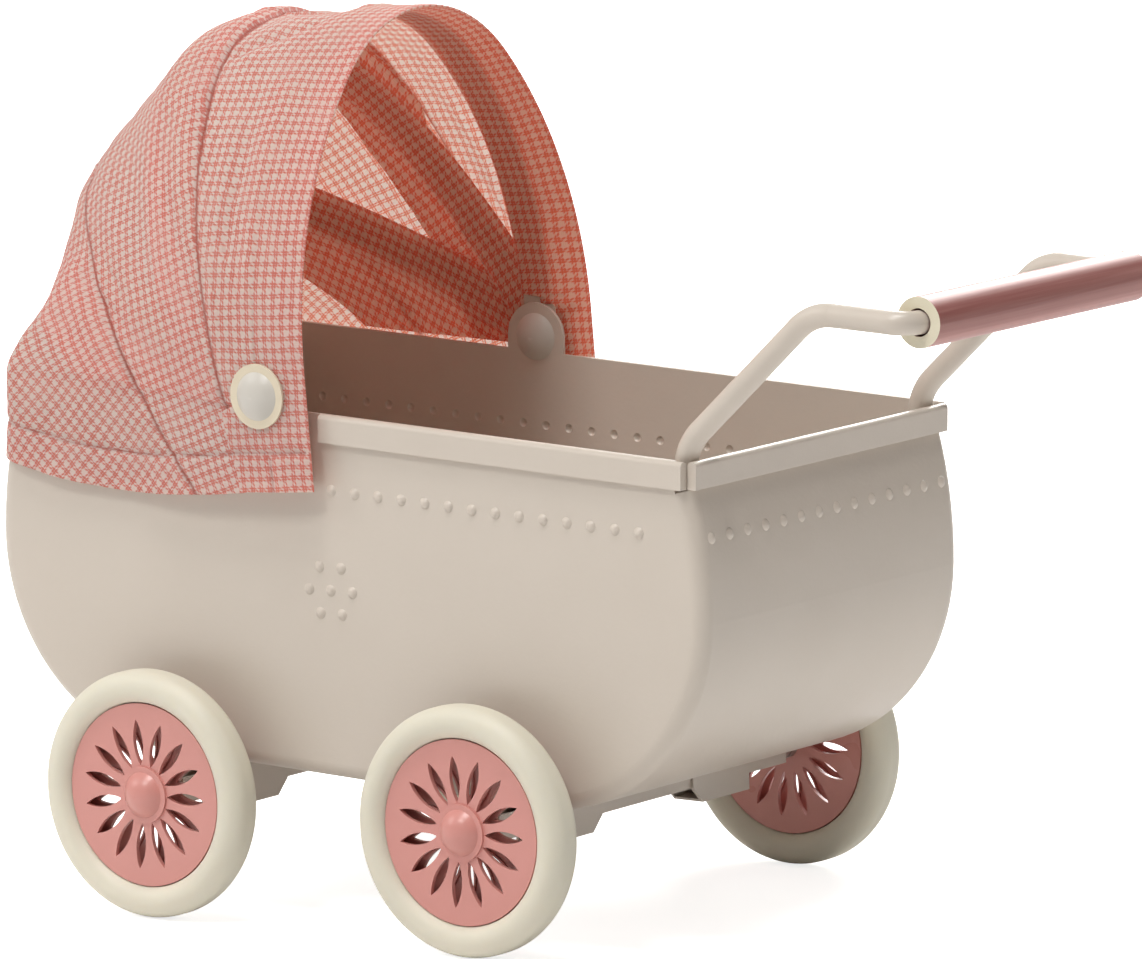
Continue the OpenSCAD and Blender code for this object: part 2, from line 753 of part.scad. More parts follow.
// Pressed disc with turned-in lips round its slots; z = 0 is its outer face, the rest lies below
module slotted_disc(hole_r) {
    color(rose) difference() {
        union() {
            translate([0, 0, -disc_t]) cylinder(r = disc_r, h = disc_t, $fn = 128);
            // folded edge that grips the tyre
            tube_z(disc_r, disc_r - disc_t, -disc_off, 0);
            each_slot() translate([0, 0, -disc_t - lip]) linear_extrude(lip + disc_t / 2)
                lens(slot_arc + lip, slot_w + 2 * lip);
        }
        each_slot() translate([0, 0, -3]) linear_extrude(6) lens(slot_arc, slot_w);
        translate([0, 0, -3]) cylinder(r = hole_r, h = 6);
    }
}

module outer_disc() { translate([0, 0, disc_off + disc_t]) slotted_disc(bush_r); }
module inner_disc() { rotate([180, 0, 0]) translate([0, 0, disc_off + disc_t]) slotted_disc(bush_r); }

module bush() { color(steel) tube_z(bush_r, bore_r, bush_in, bush_out); }

// Hollow domed cap with a flat flange, closed over the axle's end
module cap() {
    ball = (cap_r * cap_r + cap_h * cap_h) / (2 * cap_h);
    t = 0.4;
    color(rose) translate([0, 0, cap_base]) difference() {
        union() {
            cylinder(r = cap_r + 0.7, h = t);
            intersection() {
                translate([0, 0, cap_h - ball]) sphere(r = ball, $fn = 96);
                cylinder(r = cap_r + 1, h = cap_h + 1);
            }
        }
        intersection() {
            translate([0, 0, cap_h - ball]) sphere(r = ball - t, $fn = 96);
            translate([0, 0, -1]) cylinder(r = cap_r + 1, h = cap_h + 2);
        }
    }
}

tub_side_left();
tub_side_right();
tub_wrap();
hood_rivets();
rivet_washers();
rivet_spacers();
bow_front();
bow_middle();
bow_rear();
hood_hem();
hood_front_gore();
hood_middle_gore();
hood_rear_gore();
hood_skirt();
handle_wire();
handle_grip();
channel(front_axle_x);  // channel_front
channel(rear_axle_x);  // channel_rear
saddles(front_axle_x);  // saddles_front
saddles(rear_axle_x);  // saddles_rear
axle(front_axle_x);  // axle_front
axle(rear_axle_x);  // axle_rear
axle_clips();
axle_spacers();
at_wheel(front_axle_x, 1) tyre();  // tyre_fl
at_wheel(front_axle_x, 1) outer_disc();  // outer_disc_fl
at_wheel(front_axle_x, 1) inner_disc();  // inner_disc_fl
at_wheel(front_axle_x, 1) bush();  // bush_fl
at_wheel(front_axle_x, 1) cap();  // cap_fl
at_wheel(front_axle_x, -1) tyre();  // tyre_fr
at_wheel(front_axle_x, -1) outer_disc();  // outer_disc_fr
at_wheel(front_axle_x, -1) inner_disc();  // inner_disc_fr
at_wheel(front_axle_x, -1) bush();  // bush_fr
at_wheel(front_axle_x, -1) cap();  // cap_fr
at_wheel(rear_axle_x, 1) tyre();  // tyre_rl
at_wheel(rear_axle_x, 1) outer_disc();  // outer_disc_rl
at_wheel(rear_axle_x, 1) inner_disc();  // inner_disc_rl
at_wheel(rear_axle_x, 1) bush();  // bush_rl
at_wheel(rear_axle_x, 1) cap();  // cap_rl
at_wheel(rear_axle_x, -1) tyre();  // tyre_rr
at_wheel(rear_axle_x, -1) outer_disc();  // outer_disc_rr
at_wheel(rear_axle_x, -1) inner_disc();  // inner_disc_rr
at_wheel(rear_axle_x, -1) bush();  // bush_rr
at_wheel(rear_axle_x, -1) cap();  // cap_rr
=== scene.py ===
import json
import math

import bpy
import numpy as np
from mathutils import Matrix, Vector


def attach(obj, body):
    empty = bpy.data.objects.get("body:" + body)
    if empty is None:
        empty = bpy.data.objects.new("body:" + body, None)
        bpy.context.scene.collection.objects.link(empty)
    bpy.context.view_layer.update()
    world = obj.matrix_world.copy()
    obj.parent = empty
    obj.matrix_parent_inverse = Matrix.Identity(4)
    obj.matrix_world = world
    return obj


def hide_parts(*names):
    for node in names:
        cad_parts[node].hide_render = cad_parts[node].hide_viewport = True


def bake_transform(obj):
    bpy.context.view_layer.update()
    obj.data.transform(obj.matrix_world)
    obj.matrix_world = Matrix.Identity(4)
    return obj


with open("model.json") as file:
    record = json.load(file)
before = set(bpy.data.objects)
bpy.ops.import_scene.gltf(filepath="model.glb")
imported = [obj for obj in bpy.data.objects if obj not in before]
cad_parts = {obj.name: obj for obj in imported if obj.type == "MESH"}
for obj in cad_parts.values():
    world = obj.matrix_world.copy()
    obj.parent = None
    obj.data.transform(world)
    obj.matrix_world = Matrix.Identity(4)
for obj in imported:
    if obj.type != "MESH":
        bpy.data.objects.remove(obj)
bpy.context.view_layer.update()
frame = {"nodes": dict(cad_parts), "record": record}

# ---------------------------------------------------------------- the hood's frame
# Cloth is laid out in millimetres in the tub's own frame, from the rivets: x to the handle, y across (the
# near side is negative), z up. A bow's own plane has y and w, the distance up from the rivets.
JOINT = {j["name"]: j for j in frame["record"]["behaviour"]["joints"]}
RIVET = np.array(JOINT["rear_bow_fold"]["pos_m"])
TILT = math.radians(1.9)  # of the tub, nose-up
RIM = -2.4  # the rim's top below the rivets
LEANS = {"front": 6.0, "middle": 34.0, "rear": 66.0}  # of the bows, in degrees from upright
# Half width, height and crown radius of the cloth's line over each bow, and of the bow's inner face
CLOTH = {"front": (38.95, 57.95, 27.9), "middle": (38.85, 63.1, 28.7), "rear": (38.8, 64.35, 29.9)}
BOW = {"front": (36.05, 57.0, 27.0), "middle": (37.10, 62.2, 28.05), "rear": (38.15, 63.4, 29.1)}
FOOT = 3.6  # a bow's legs are straight up to here
COLS = 340
SHARE = np.linspace(0, 1, COLS)  # of the way over the hood, for each column of a panel
SEAM_WIDTH = 0.42


def hood_to_row(p):
    """From the hood's frame, in millimetres, to the row's frame, in metres."""
    p = np.asarray(p, float) * 0.001
    c, s = math.cos(TILT), math.sin(TILT)
    return np.stack([RIVET[0] + p[..., 0] * c + p[..., 2] * s, p[..., 1],
                     RIVET[2] - p[..., 0] * s + p[..., 2] * c], -1)


def arch(half, height, crown=27.9, leg=0.0, steps=80):
    """Line of a bow as (y, w): near foot, over the crown, far foot; legs run on below the rivet."""
    top = height - crown
    shift = ((top - FOOT) ** 2 - (half - crown) ** 2) / (2 * (half - crown))
    turn = math.atan2(top - FOOT, shift)
    wide = shift + half
    line = [(half, -leg), (half, FOOT)]
    line += [(wide * math.cos(turn * i / steps) - shift, wide * math.sin(turn * i / steps) + FOOT)
             for i in range(1, steps + 1)]
    line += [(crown * math.cos(a), crown * math.sin(a) + top)
             for a in np.linspace(turn, math.pi / 2, steps)[1:]]
    line = np.array(line)
    return np.concatenate([line * [-1, 1], line[-2::-1]])


def along(line, share):
    """Points at the given shares of a line's length."""
    line = np.asarray(line, float)
    length = np.concatenate([[0], np.cumsum(np.linalg.norm(np.diff(line, axis=0), axis=1))])
    return np.stack([np.interp(share * length[-1], length, line[:, i]) for i in range(line.shape[1])], -1)


def lean(deg, y, w, x=0.0):
    """From a bow's own plane to the hood's frame: x across the bow, y sideways, w along it."""
    c, s = math.cos(math.radians(deg)), math.sin(math.radians(deg))
    x = x + np.zeros_like(w)
    return np.stack([x * c - w * s, y + np.zeros_like(w), x * s + w * c], -1)


def across(p, deg):
    """Distance of points across, and along, a plane through the rivets that leans deg."""
    c, s = math.cos(math.radians(deg)), math.sin(math.radians(deg))
    return p[..., 0] * c + p[..., 2] * s, -p[..., 0] * s + p[..., 2] * c


def smooth(t):
    """A soft step from 0 at t = 0 to 1 at t = 1."""
    t = np.clip(t, 0, 1)
    return t * t * (3 - 2 * t)


def mound(x, width):
    """A bell from 1 at x = 0 to nothing at about twice the width."""
    return np.exp(-((x / width) ** 2))


def noise(u, v, seed):
    """Smooth value noise from -1 to 1 with features one unit apart."""
    table = np.random.default_rng(seed).uniform(-1, 1, (64, 64))
    u, v = np.asarray(u, float), np.asarray(v, float)
    i, j = np.floor(u).astype(int), np.floor(v).astype(int)
    a, b = smooth(u - i), smooth(v - j)

    def at(p, q):
        return table[p % 64, q % 64]

    below = at(i, j) * (1 - a) + at(i + 1, j) * a
    above = at(i, j + 1) * (1 - a) + at(i + 1, j + 1) * a
    return below * (1 - b) + above * b


def normals(p):
    """Unit normals of a grid of points, pointing away from the hood's inside."""
    n = np.cross(np.gradient(p, axis=1), np.gradient(p, axis=0))
    n /= np.maximum(np.linalg.norm(n, axis=-1, keepdims=True), 1e-9)
    inside = np.array([-25.0, 0.0, 12.0])
    flip = np.sign(((p - inside) * n).sum(-1, keepdims=True).mean())
    return n * (flip if flip else 1)


# ---------------------------------------------------------------- seams and the weave's coordinates
def seam_a(p):
    """Distance of points in front of the seam between the front and the middle panel."""
    u, w = across(p, 18.0)
    return u + 7.2 - 1.1 * smooth(-w / 16)


def seam_b(p):
    """Distance of points in front of the seam between the middle and the lowest panel."""
    u, w = across(p, 36.3)
    return u + 22.0 - 1.4 * smooth(-(w - 6) / 16) + 2.4 * smooth((w - 18) / 34)


WAIST = 20.0  # above it the weave follows the arch, and below it runs straight down


def round_angle(y, w):
    """Angle of a point round the hood's inside, from the near side over the crown to the far side."""
    a = np.arctan2(w - WAIST, -y)
    return np.where(a < -math.pi / 2, a + 2 * math.pi, a)


CUT = arch(38.8, 60.0)  # the arch that every panel is cut for
CUT_LENGTH = np.concatenate([[0], np.cumsum(np.linalg.norm(np.diff(CUT, axis=0), axis=1))])
CUT_ANGLE = round_angle(CUT[:, 0], CUT[:, 1])


def weave(p, deg):
    """Coordinates of the weave, in millimetres, on a panel cut square to the plane that leans deg."""
    u, w = across(p, deg)
    top = np.interp(round_angle(p[..., 1], w), CUT_ANGLE, CUT_LENGTH)
    low = np.where(p[..., 1] < 0, w, CUT_LENGTH[-1] - w)
    return u, np.where(w > WAIST, top, low)


def wrap_weave(z_up, rim_length=173.0):
    """Weave of the lowest panel: round the tub and up, turned by forty degrees."""
    x = np.minimum(SHARE, 1 - SHARE) * rim_length + np.zeros_like(z_up)
    c, s = math.cos(math.radians(40)), math.sin(math.radians(40))
    return x * c + z_up * s, -x * s + z_up * c


def outer_maps(grid, z_up):
    return {"weave1": weave(grid, 6.5), "weave2": weave(grid, 24.0), "weave3": wrap_weave(z_up)}


def plain_maps(grid, deg):
    one = weave(grid, deg)
    return {"weave1": one, "weave2": one, "weave3": one}


def make(name, grid, maps, seams, lining=0.0):
    """A cloth mesh from a grid of points, with the weave's coordinates on its points."""
    rows, cols = grid.shape[:2]
    verts = hood_to_row(grid.reshape(-1, 3))
    i = np.arange(rows * cols).reshape(rows, cols)
    quads = np.stack([i[:-1, :-1], i[:-1, 1:], i[1:, 1:], i[1:, :-1]], -1).reshape(-1, 4)
    mesh = bpy.data.meshes.new(name)
    mesh.from_pydata(verts.tolist(), [], quads.tolist())
    for key, (u, v) in list(maps.items()) + [("seams", seams)]:
        data = np.zeros((rows * cols, 3), np.float32)
        data[:, 0], data[:, 1] = np.ravel(u), np.ravel(v)
        data[:, 2] = np.ravel(np.broadcast_to(lining, (rows, cols)))
        mesh.attributes.new(key, "FLOAT_VECTOR", "POINT").data.foreach_set("vector", data.ravel())
    mesh.polygons.foreach_set("use_smooth", [True] * len(mesh.polygons))
    obj = bpy.data.objects.new(name, mesh)
    bpy.context.scene.collection.objects.link(obj)
    return obj


# ---------------------------------------------------------------- upper panels, taut from bow to bow
RIM_PLAN = (-3.4, -54.95, 38.5, 36.75, 3.0)  # back, front, half widths there, and the front corners' radius
RIM_TOP = RIM + 0.2
PARTS = {  # rows of the taut cloth
    "hood_cloth_front": slice(0, 54),
    "hood_cloth_middle": slice(53, 113),
    "hood_cloth_rear": slice(112, 166),
}


def plan_line(back, front, y_back, y_front, radius):
    """Outline round the tub's front end as (x, y), near side first."""
    t = np.linspace(0, 1, 40)
    x = back + (front + radius - back) * t
    y = y_back + (y_front - y_back) * smooth(t * 1.7)
    a = np.linspace(0, math.pi / 2, 16)[1:]
    corner = np.stack([front + radius - radius * np.sin(a), y_front - radius + radius * np.cos(a)], -1)
    half = np.concatenate([np.stack([x, y], -1), corner, [[front, 0.0]]])
    return np.concatenate([half * [1, -1], half[-2::-1]])


def plan(z, shape):
    """Points round the tub's front end at the height z, one for each column."""
    x, y = along(plan_line(*shape), SHARE).T
    return np.stack([x, y, z + np.zeros_like(x)], -1)


def over_bow(name):
    """Points of the cloth's line over a bow, one for each column."""
    y, w = along(arch(*CLOTH[name]), SHARE).T
    return lean(LEANS[name], y, w)


def forward(name):
    """The way cloth leaves a bow for the next one, towards the tub's front end."""
    c, s = math.cos(math.radians(LEANS[name])), math.sin(math.radians(LEANS[name]))
    return np.array([-c, 0, -s])


def panel(start, end, way_out, way_in, part, pull=0.45):
    """Rows of points from one line to the next, leaving and arriving in the given directions."""
    chord = np.linalg.norm(end - start, axis=-1, keepdims=True)
    out, back = way_out * chord * pull, way_in * chord * pull
    t = np.linspace(0, 1, part.stop - part.start)[:, None, None]
    return ((2 * t**3 - 3 * t**2 + 1) * start + (t**3 - 2 * t**2 + t) * out
            + (3 * t**2 - 2 * t**3) * end + (t**3 - t**2) * back)


def taut_cloth():
    """The three upper panels as one grid, which shares its rows over the bows."""
    lines = [over_bow("front"), over_bow("middle"), over_bow("rear"), plan(RIM_TOP, RIM_PLAN)]
    ways = [forward("front"), forward("middle"), forward("rear"), np.array([0, 0, -1.0])]
    panels = [panel(lines[i], lines[i + 1], ways[i], ways[i + 1], part)
              for i, part in enumerate(PARTS.values())]
    return np.concatenate([panels[0], panels[1][1:], panels[2][1:]])


taut = taut_cloth()
outward = normals(taut)
step = np.linalg.norm(np.diff(taut, axis=0), axis=-1)
# length of the cloth from each row down to the rim
above_rim = np.concatenate([np.cumsum(step[::-1], axis=0)[::-1], np.zeros((1, COLS))])


# ---------------------------------------------------------------- folds and puckers of the outer cloth
def relief(p, share):
    """Height of the cloth above its taut shape: seams, their puckers and a few soft folds."""
    a, b = seam_a(p), seam_b(p)
    u, w = across(p, 12.0)
    near = np.where(p[..., 1] < 0, 1.0, 0.0)
    long = weave(p, 18.0)[1]
    h = -0.34 * mound(a, SEAM_WIDTH) - 0.34 * mound(b, SEAM_WIDTH)
    # the tuck behind each seam stands up and puckers
    for d, seed in ((a, 11), (b, 12)):
        strip = smooth(-d / 0.8) * smooth((d + 7.5) / 4)
        h = h + strip * (0.34 + 0.24 * noise(long / 2.4, d / 5, seed))
        h = h + 0.2 * smooth(d / 0.5) * smooth((5 - d) / 4) * noise(long / 1.9, d / 4, seed + 20)
    # long soft folds that fall from the crown towards the rivets
    reach = smooth((w - 6) / 16)
    crown = mound(share - 0.5, 0.17)
    fan = np.degrees(np.arctan2(-p[..., 0], np.maximum(p[..., 2] + 16, 1)))
    h = h + reach * 0.62 * noise(fan / 7.5 + 3 * near, long / 45, 31) * (1 - 0.3 * crown)
    h = h + reach * 0.26 * noise(fan / 3.2, long / 22 + 9 * near, 32)
    # slack cloth dips between the front bow and the first seam, at the crown, with a sharp crease
    dip = smooth((4 - u) / 5) * smooth((u + 17) / 6)
    h = h - 1.25 * crown * dip * (0.75 + 0.4 * noise(long / 8, u / 6, 33))
    h = h + 0.5 * mound(share - 0.38, 0.05) * dip
    crease = 0.415 + 0.0045 * (u + 6)
    h = h - 0.85 * mound(share - crease, 0.014) * smooth((2 - u) / 4) * smooth((u + 14) / 5)
    # long folds hang down the sides, three on the near one and one on the far one
    bend = 1.6 * np.sin(long / 9.0)
    span = smooth((w - 8) / 9) * smooth((50 - w) / 12)
    h = h - 0.7 * near * span * mound(fan - 12.5 - bend, 1.5)
    h = h + 0.6 * near * span * mound(fan - 16.5 - bend, 1.8)
    h = h - 0.6 * (1 - near) * span * mound(fan - 13.5 + bend, 1.8)
    h = h - 0.55 * near * span * mound(fan - 27.0 + bend, 1.8)
    return h + 0.05 * noise(long / 1.3, fan / 1.1, 34)


def rise_of_cloth():
    """Relief, flattened over the bows' strips, at the rivets and at both ends of the taut cloth."""
    h = relief(taut, SHARE[None, :])
    for bow in ("middle", "rear"):
        off = np.abs(across(taut, LEANS[bow])[0])
        h = h + (np.maximum(h, 0.05) - h) * smooth((5.2 - off) / 1.6)
    row = np.arange(len(taut))
    ends = smooth(row / 7.5) * smooth((row[-1] - row) / 9)
    return (h + 0.25) * smooth(np.linalg.norm(taut, axis=-1) / 12) * ends[:, None]


rise = rise_of_cloth()
raised = taut + outward * rise[..., None]
cloth = {}
for name, part in PARTS.items():
    seams = (seam_a(taut[part]), seam_b(taut[part]))
    cloth[name] = make(name, raised[part], outer_maps(taut[part], above_rim[part]), seams)


# ---------------------------------------------------------------- skirt round the tub, with its turned-up hem
def hanging_edge():
    """Height of the skirt's lower edge in each column."""
    side = np.minimum(SHARE, 1 - SHARE) * 2
    sway = 0.35 * noise(SHARE * 26, SHARE * 3, 51)
    sag = 2.6 * np.sin(math.pi * np.clip(side / 0.62, 0, 1))
    return -15.9 - sag + 1.3 * smooth((side - 0.55) / 0.3) + 0.4 * sway


def towards_tub(line):
    """Level unit directions from the skirt's line to the tub's inside."""
    inward = -np.stack([np.gradient(line[:, 1]), -np.gradient(line[:, 0]), 0 * SHARE], -1)
    inward /= np.linalg.norm(inward, axis=-1, keepdims=True)
    centre = np.array([-28.0, 0.0, 0.0])
    return -inward if ((line - centre) * inward).sum() > 0 else inward


def make_skirt():
    hang = hanging_edge()
    foot_plan = (-3.0, -56.3, 38.6, 36.8, 5.4)  # RIM_PLAN's five values, at the lower edge
    rows, up = [], []
    for t in np.linspace(0, 1, 30):  # down the outside
        p = plan(0.0, [a + (b - a) * t**0.8 for a, b in zip(RIM_PLAN, foot_plan)])
        p[:, 2] = RIM_TOP + (hang - RIM_TOP) * t
        rows.append(p)
        up.append((hang - RIM_TOP) * t)
    outside = rows[-1].copy()
    inward = towards_tub(outside)
    for a in np.linspace(0, math.pi, 6)[1:]:  # round the edge
        p = outside + inward * 0.2 * (1 - math.cos(a))
        p[:, 2] -= 0.2 * math.sin(a)
        rows.append(p)
        up.append(hang - RIM_TOP - 0.1)
    for t in np.linspace(0, 5.6, 12)[1:]:  # up the inside
        p = outside + inward * 0.4
        p[:, 2] += t
        p[:, 0] += 0.08 * t * (p[:, 0] < -50)
        rows.append(p)
        up.append(hang - RIM_TOP + t)
    flat = np.stack(rows)
    k = np.linspace(0, 1, len(rows))[:, None]
    face = k < 0.62  # the outside, apart from its last rows
    ripple = 0.28 * noise(SHARE[None, :] * 30, k * 3, 52) + 0.12 * noise(SHARE[None, :] * 80, k * 6, 53)
    line = np.abs(flat[..., 2] - (hang + 6.2)) * face
    stitch = -0.34 * mound(line, 0.5) * face
    dips = -0.3 * (mound(seam_a(flat), SEAM_WIDTH) + mound(seam_b(flat), SEAM_WIDTH)) * face
    height = np.clip(ripple + 0.1, -0.1, 1) * smooth(k * 4) + stitch + dips
    grid = flat - np.broadcast_to(inward, flat.shape) * height[..., None]
    # the hem's stitch line goes into the seam channel, where the cloth's material paints it with the same
    # dark line of painted shade
    b = seam_b(flat)
    b = np.sign(b) * np.minimum(np.abs(b), 0.1 + np.where(face, line, 9.0))
    return make("hood_cloth_skirt", grid, outer_maps(flat, np.stack(up)), (seam_a(flat), b))


# ---------------------------------------------------------------- front hem: a band with a flap at each side
HEM_SHARE = np.linspace(0, 1, 380)
HEM_EDGE = 9.0  # the fold, in front of the bow's middle
HEM_LEG = 15.4  # the flaps' length below the rivets
FOLD_R = 0.35
THICK = 0.42


def hem_line(half, height, crown):
    return along(arch(half, height, crown, leg=HEM_LEG), HEM_SHARE)


def make_hem():
    outer = hem_line(*CLOTH["front"])
    inner = hem_line(*[v - 0.25 for v in BOW["front"]])
    edge = hem_line(37.9, 57.45, 27.6)
    w0 = outer[:, 1]
    low = smooth((6.2 - w0) / 2.4)  # below the ear the lining passes outside the bow's eye
    inner_y = inner[:, 0] * (1 - low) + np.sign(inner[:, 0]) * 37.6 * low
    inner = np.stack([inner_y, inner[:, 1]], -1)
    rear_out = -7.6 * smooth(-w0 / 2.6) + 2.2 * smooth((-w0 - 2.6) / 12)
    rear_in = np.where(w0 > 7, -4.6, rear_out + 0.5)
    away = np.stack([0 * HEM_SHARE, outer[:, 0] / 40, np.clip(w0, 0, None) / 60], -1)
    away /= np.linalg.norm(away, axis=-1, keepdims=True)
    ahead = lean(LEANS["front"], 0 * HEM_SHARE, 0 * HEM_SHARE, 1.0 + 0 * HEM_SHARE)
    fold_x = HEM_EDGE - FOLD_R
    rows = []
    for t in np.linspace(0, 1, 16):  # lining, from its rear edge to the fold
        x = rear_in + (fold_x - rear_in) * t
        lift = smooth((x - 3.2) / 5.0) + smooth((-3.2 - x) / np.maximum(-rear_in - 3.2, 0.7)) * (w0 > 7)
        lift = np.clip(lift, 0, 1)[:, None]
        line = inner * (1 - lift) + np.where((x > 0)[:, None], edge, outer * [0.974, 0.982]) * lift
        rows.append(lean(LEANS["front"], line[:, 0], line[:, 1], x))
    fold = rows[-1].copy()
    last_lining = len(rows) - 1
    for a in np.linspace(0, math.pi, 8)[1:-1]:
        rows.append(fold + ahead * (FOLD_R * math.sin(a)) + away * THICK * (1 - math.cos(a)) / 2)
    first_face = len(rows)
    for t in np.linspace(0, 1, 26):  # face, from the fold to the bow and, on the flaps, to the first seam
        x = fold_x + (rear_out - fold_x) * t
        lift = smooth((fold_x - x) / 5.5)[:, None]
        line = edge * (1 - lift) + outer * lift
        rows.append(lean(LEANS["front"], line[:, 0], line[:, 1], x) + away * THICK * (1 - lift))
    flat = np.stack(rows)
    row = np.arange(len(rows))[:, None]
    face = row > first_face
    u, w = across(flat, LEANS["front"])
    puff = 0.12 * noise(w / 3.1 + 0 * u, u / 2.3, 61) + 0.2 * noise(w / 9, u / 7, 62)
    puff = puff * smooth((np.abs(w) - 4.5) / 3) * smooth(u / 4 + (w < 0))
    stitched = -0.36 * mound(w + 9.2, 0.45) - 0.34 * mound(u - 1.2, 0.4) * (w < -9)
    grid = flat + away[None] * ((puff + stitched) * face)[..., None]
    sewn = np.where(w < -9.8, np.minimum(np.abs(w + 9.2), np.abs(u - 1.2)), np.abs(w + 9.2))
    # the lining's rows are flagged as lining, which the cloth's material paints deeper red: painted glow of
    # light through the doubled cloth
    inner_side = 1.0 - smooth((row - last_lining) / 6)
    # the stitch lines go in as seam distances, which the cloth's material paints as dark lines of painted
    # shade
    seams = (5 + 0 * u, np.where(face, 0.1 + sewn, 5.0))
    return make("hood_cloth_hem", grid, plain_maps(flat, 6.5), seams, inner_side)


# ---------------------------------------------------------------- sleeves: second layers inside the bows
def crossing(measure, level):
    """Row, as a fraction, where a measure that falls from row to row passes the level, in each column."""
    return np.array([np.interp(-level, -np.minimum.accumulate(m), np.arange(len(m))) for m in measure.T])


def at_row(values, row):
    i = np.clip(row.astype(int), 0, len(values) - 2)
    f = (row - i).reshape([-1] + [1] * (values.ndim - 2))
    return values[i, np.arange(COLS)] * (1 - f) + values[i + 1, np.arange(COLS)] * f


def sleeve(name, bow, first, last):
    """Lining from the row first to the row last of the taut cloth, passing inside its bow."""
    outer, inner = along(arch(*CLOTH[bow]), SHARE), along(arch(*[v - 0.22 for v in BOW[bow]]), SHARE)
    depth = np.linalg.norm(outer - inner, axis=-1)
    rows = []
    for t in np.linspace(0, 1, 30):
        r = first + (last - first) * t
        p, out = at_row(taut, r), at_row(outward, r)
        off = np.abs(across(p, LEANS[bow])[0])
        under = smooth((5.0 - off) / 1.3)
        pucker = 0.2 * noise(np.arange(COLS) / 5.5, 2.5 * t, len(name)) * smooth((p[:, 2] - 4) / 8)
        d = 0.4 + 0.35 * math.sin(math.pi * t) + pucker - at_row(rise, r)
        rows.append(p - out * (d + (np.maximum(d, depth + 0.55) - d) * under)[:, None])
    grid = np.stack(rows)
    far = 5 + 0 * grid[..., 0]  # no seam is near
    # the whole sleeve is flagged as lining, so the material paints it deeper red as painted glow of light
    # through the doubled cloth
    return make(name, grid, plain_maps(grid, LEANS[bow]), (far, far), 1.0)


def make_sleeves():
    by_a, height = seam_a(taut), taut[..., 2]
    by_edge = across(taut, 55.4)[0] + 11.4
    by_middle, by_rear = across(taut, LEANS["middle"])[0], across(taut, LEANS["rear"])[0]
    broad = by_a + 8 + 5.5 * smooth((height + 2) / 40)
    beside = 4.1  # each lining reaches at least this far from its bow's middle, on both sides
    cloth["hood_sleeve_middle"] = sleeve(
        "hood_sleeve_middle", "middle",
        np.minimum(crossing(by_a, 0.5), crossing(by_middle, beside)),
        np.maximum(crossing(broad, 0.0), crossing(by_middle, -beside)))
    cloth["hood_sleeve_rear"] = sleeve(
        "hood_sleeve_rear", "rear",
        crossing(by_rear, beside),
        np.maximum(crossing(by_edge, -11.3), crossing(by_rear, -beside)))


skirt = make_skirt()
cloth["hood_cloth_skirt"] = skirt
hem = make_hem()
cloth["hood_cloth_hem"] = hem
make_sleeves()


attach(hem, "front_bow")
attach(skirt, "tub")
for part in ("hood_cloth_front", "hood_sleeve_middle"):
    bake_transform(cloth[part])
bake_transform(cloth["hood_cloth_middle"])
for part in ("hood_cloth_rear", "hood_sleeve_rear"):
    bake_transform(cloth[part])
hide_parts("hood_hem")
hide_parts("hood_front_gore")
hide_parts("hood_middle_gore")
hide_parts("hood_rear_gore")
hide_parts("hood_skirt")


# ---------------------------------------------------------------- materials
class Nodes:
    """Short calls for building a tree of nodes that ends in one output."""

    def __init__(self, holder, out="ShaderNodeOutputMaterial"):
        holder.use_nodes = True
        self.holder = holder
        self.tree = holder.node_tree
        self.tree.nodes.clear()
        self.out = self.tree.nodes.new(out)

    def new(self, kind, **inputs):
        """A node: _name sets a property, i0 fills an input by number, and Base__Color one by name."""
        node = self.tree.nodes.new(kind)
        for key, value in inputs.items():
            if key.startswith("_"):
                setattr(node, key[1:], value)
        for key, value in inputs.items():
            if key.startswith("_"):
                continue
            numbered = key[0] == "i" and key[1:].isdigit()
            slot = node.inputs[int(key[1:]) if numbered else key.replace("__", " ")]
            if isinstance(value, bpy.types.NodeSocket):
                self.tree.links.new(value, slot)
            else:
                slot.default_value = value
        return node

    def math(self, op, a, b=0.0):
        return self.new("ShaderNodeMath", _operation=op, i0=a, i1=b).outputs[0]

    def mix(self, t, a, b):
        return self.new("ShaderNodeMix", _data_type="RGBA", i0=t, i6=a, i7=b).outputs[2]

    def pick(self, t, a, b):
        return self.new("ShaderNodeMix", _data_type="VECTOR", i0=t, i4=a, i5=b).outputs[1]

    def ramp(self, t, low, high, a=0.0, b=1.0):
        return self.new("ShaderNodeMapRange", i0=t, i1=low, i2=high, i3=a, i4=b).outputs[0]

    def noise(self, vector, scale, detail=2.0, rough=0.5):
        node = self.new("ShaderNodeTexNoise", Vector=vector, Scale=scale, Detail=detail, Roughness=rough)
        return node.outputs[0]

    def coords(self, scale=(1, 1, 1)):
        place = self.new("ShaderNodeTexCoord").outputs["Object"]
        return self.new("ShaderNodeMapping", Vector=place, Scale=scale).outputs[0]

    def bump(self, height, distance, strength=1.0):
        return self.new("ShaderNodeBump", Strength=strength, Distance=distance, Height=height).outputs[0]

    def finish(self, shader):
        self.tree.links.new(shader, self.out.inputs["Surface"])
        return self.holder


def rgba(r, g, b):
    return (r, g, b, 1.0)


def material(name):
    return Nodes(bpy.data.materials.new(name))


def enamel(name, colour, dark, rough=0.36, coat=0.15):
    """Paint on tin, a little darker in clouds and finely grained."""
    n = material(name)
    at = n.coords()
    cloud = n.noise(at, 55.0, 3.0)
    fine = n.noise(at, 1300.0)
    base = n.mix(n.ramp(cloud, 0.35, 0.7, 0.0, 0.10), rgba(*colour), rgba(*dark))
    surface = n.new("ShaderNodeBsdfPrincipled", Base__Color=base, Coat__Weight=coat, Coat__Roughness=0.3,
                    Roughness=n.ramp(cloud, 0.3, 0.7, rough - 0.04, rough + 0.06),
                    Normal=n.bump(fine, 0.00004, 0.6))
    return n.finish(surface.outputs[0])


